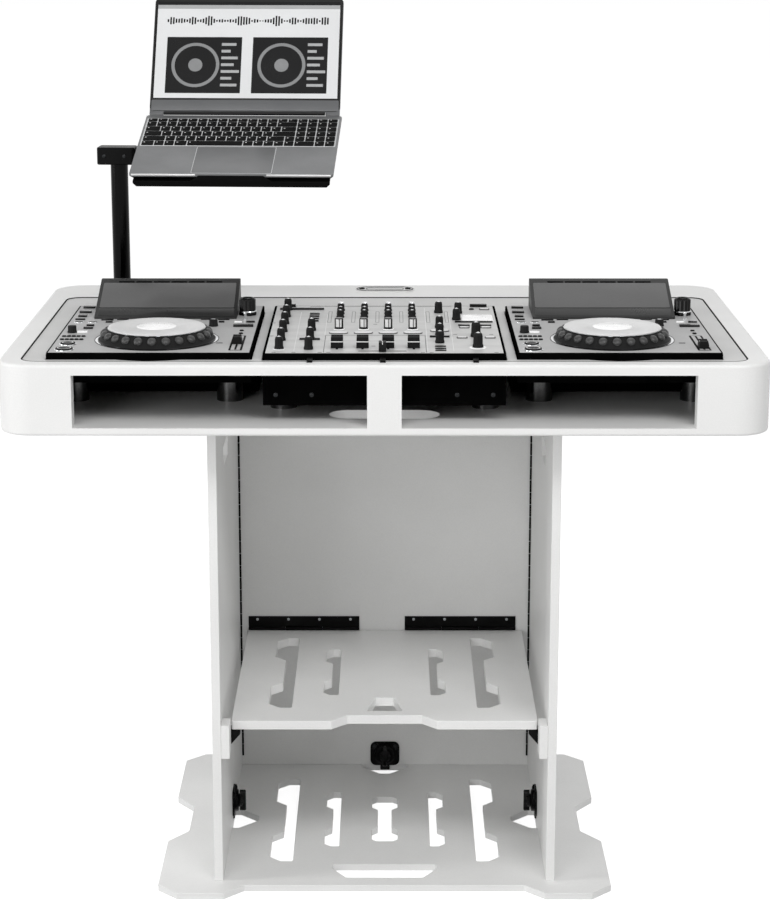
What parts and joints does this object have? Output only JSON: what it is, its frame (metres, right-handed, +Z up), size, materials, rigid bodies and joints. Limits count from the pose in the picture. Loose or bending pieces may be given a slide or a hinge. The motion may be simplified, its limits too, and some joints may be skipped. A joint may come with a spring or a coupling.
{
  "type": "dj booth",
  "caption": "Free-standing DJ booth: a shallow table with an inset deck of players, mixer and laptop stand on a folding panel pedestal with a shelf and slotted base.",
  "frame": {"origin": "on the floor, under the middle of the table", "axes": "+Z up, -Y towards the person at the booth, +X to that person's right"},
  "size_m": [1.24, 0.77, 1.474],
  "materials": {
    "white_board": "satin",
    "deck_board": "satin",
    "black_steel": "satin",
    "pin_steel": "satin",
    "badge_plate": "satin",
    "gear_case": "matte",
    "gear_face": "satin",
    "screen_housing": "gloss",
    "jog": "satin",
    "knob": "matte",
    "button": "satin",
    "foot": "matte",
    "laptop_shell": "satin",
    "laptop_keys": "matte",
    "laptop_display": "gloss"
  },
  "bodies": {
    "booth": {"base_plate": "white_board", "back_panel": "white_board", "left_side_panel": "white_board", "right_side_panel": "white_board", "shelf_stop_blocks": "white_board", "table_top": "white_board", "table_bottom": "white_board", "table_left_end": "white_board", "table_right_end": "white_board", "table_back_wall": "white_board", "table_center_post": "white_board", "deck_plate": "deck_board", "piano_hinges": "black_steel", "shelf_catches": "black_steel", "latch_housings": "black_steel", "shelf_hinge_wall_leaves": "black_steel", "panel_screws": "black_steel", "pole_flange": "black_steel", "pole": "black_steel", "shelf_hinge_pins": "pin_steel", "badge_plate": "badge_plate", "left_player_case": "gear_case", "right_player_case": "gear_case", "player_faceplates": "gear_face", "player_screens": "screen_housing", "player_small_controls": "knob", "mixer_case": "gear_case", "mixer_faceplate": "gear_face", "mixer_knobs": "knob", "mixer_buttons": "button", "mixer_display": "button", "gear_feet": "foot"},
    "shelf": {"shelf": "white_board", "shelf_hinge_shelf_leaves": "black_steel"},
    "left_latch": {"left_latch_wing": "black_steel"},
    "right_latch": {"right_latch_wing": "black_steel"},
    "back_latch": {"back_latch_wing": "black_steel"},
    "arm": {"swivel_arm": "black_steel"},
    "tray": {"tilt_head": "black_steel", "laptop_tray": "black_steel", "laptop_base": "laptop_shell", "laptop_keys_and_trackpad": "laptop_keys"},
    "lid": {"laptop_lid": "laptop_shell", "laptop_screen": "laptop_display"},
    "left_jog": {"left_jog_wheel": "jog"},
    "left_tempo": {"left_tempo_fader": "knob"},
    "left_browse": {"left_browse_knob": "knob"},
    "left_cue": {"left_cue_button": "button"},
    "left_play": {"left_play_button": "button"},
    "right_jog": {"right_jog_wheel": "jog"},
    "right_tempo": {"right_tempo_fader": "knob"},
    "right_browse": {"right_browse_knob": "knob"},
    "right_cue": {"right_cue_button": "button"},
    "right_play": {"right_play_button": "button"},
    "fader_1": {"channel_fader_1": "knob"},
    "fader_2": {"channel_fader_2": "knob"},
    "fader_3": {"channel_fader_3": "knob"},
    "fader_4": {"channel_fader_4": "knob"},
    "crossfader": {"crossfader": "knob"}
  },
  "joints": [
    {"name": "shelf_fold", "type": "hinge", "parent": "booth", "child": "shelf", "pos_m": [0, 0.2688, 0.2905], "axis": [-1, 0, 0], "range_deg": [0, 88]},
    {"name": "left_latch_turn", "type": "hinge", "parent": "booth", "child": "left_latch", "pos_m": [-0.277, 0, 0.048], "axis": [1, 0, 0], "range_deg": [0, 90]},
    {"name": "right_latch_turn", "type": "hinge", "parent": "booth", "child": "right_latch", "pos_m": [0.277, 0, 0.048], "axis": [-1, 0, 0], "range_deg": [0, 90]},
    {"name": "back_latch_turn", "type": "hinge", "parent": "booth", "child": "back_latch", "pos_m": [0, 0.272, 0.036], "axis": [0, -1, 0], "range_deg": [0, 90]},
    {"name": "arm_swivel", "type": "hinge", "parent": "booth", "child": "arm", "pos_m": [-0.49, 0.305, 1.1924], "axis": [0, 0, 1], "range_deg": [-70, 40]},
    {"name": "tray_tilt", "type": "hinge", "parent": "arm", "child": "tray", "pos_m": [-0.49, 0.305, 1.1924], "axis": [0.9986, -0.0523, 0], "range_deg": [-20, 25]},
    {"name": "lid_hinge", "type": "hinge", "parent": "tray", "child": "lid", "pos_m": [-0.25512, 0.25837, 1.27283], "axis": [0.9986, -0.0523, 0], "range_deg": [-41, 136]},
    {"name": "left_jog_turn", "type": "hinge", "parent": "booth", "child": "left_jog", "pos_m": [-0.376, -0.217, 0.947], "axis": [0, 0, 1], "continuous": true},
    {"name": "left_tempo_slide", "type": "slide", "parent": "booth", "child": "left_tempo", "axis": [0, 1, 0], "range_m": [-0.0439, 0.0511]},
    {"name": "left_browse_turn", "type": "hinge", "parent": "booth", "child": "left_browse", "pos_m": [-0.239, 0.01009, 0.947], "axis": [0, 0, 1], "continuous": true},
    {"name": "left_cue_press", "type": "slide", "parent": "booth", "child": "left_cue", "axis": [0, 0, -1], "range_m": [0, 0.0015], "stiffness_N_per_m": 400},
    {"name": "left_play_press", "type": "slide", "parent": "booth", "child": "left_play", "axis": [0, 0, -1], "range_m": [0, 0.0015], "stiffness_N_per_m": 400},
    {"name": "right_jog_turn", "type": "hinge", "parent": "booth", "child": "right_jog", "pos_m": [0.376, -0.217, 0.947], "axis": [0, 0, 1], "continuous": true},
    {"name": "right_tempo_slide", "type": "slide", "parent": "booth", "child": "right_tempo", "axis": [0, 1, 0], "range_m": [-0.0059, 0.0892]},
    {"name": "right_browse_turn", "type": "hinge", "parent": "booth", "child": "right_browse", "pos_m": [0.519, 0.01009, 0.947], "axis": [0, 0, 1], "continuous": true},
    {"name": "right_cue_press", "type": "slide", "parent": "booth", "child": "right_cue", "axis": [0, 0, -1], "range_m": [0, 0.0015], "stiffness_N_per_m": 400},
    {"name": "right_play_press", "type": "slide", "parent": "booth", "child": "right_play", "axis": [0, 0, -1], "range_m": [0, 0.0015], "stiffness_N_per_m": 400},
    {"name": "fader_1_slide", "type": "slide", "parent": "booth", "child": "fader_1", "axis": [0, 1, 0], "range_m": [-0.0075, 0.0865]},
    {"name": "fader_2_slide", "type": "slide", "parent": "booth", "child": "fader_2", "axis": [0, 1, 0], "range_m": [-0.0075, 0.0865]},
    {"name": "fader_3_slide", "type": "slide", "parent": "booth", "child": "fader_3", "axis": [0, 1, 0], "range_m": [-0.0075, 0.0865]},
    {"name": "fader_4_slide", "type": "slide", "parent": "booth", "child": "fader_4", "axis": [0, 1, 0], "range_m": [-0.0075, 0.0865]},
    {"name": "crossfader_slide", "type": "slide", "parent": "booth", "child": "crossfader", "axis": [1, 0, 0], "range_m": [-0.03, 0.03]}
  ]
}
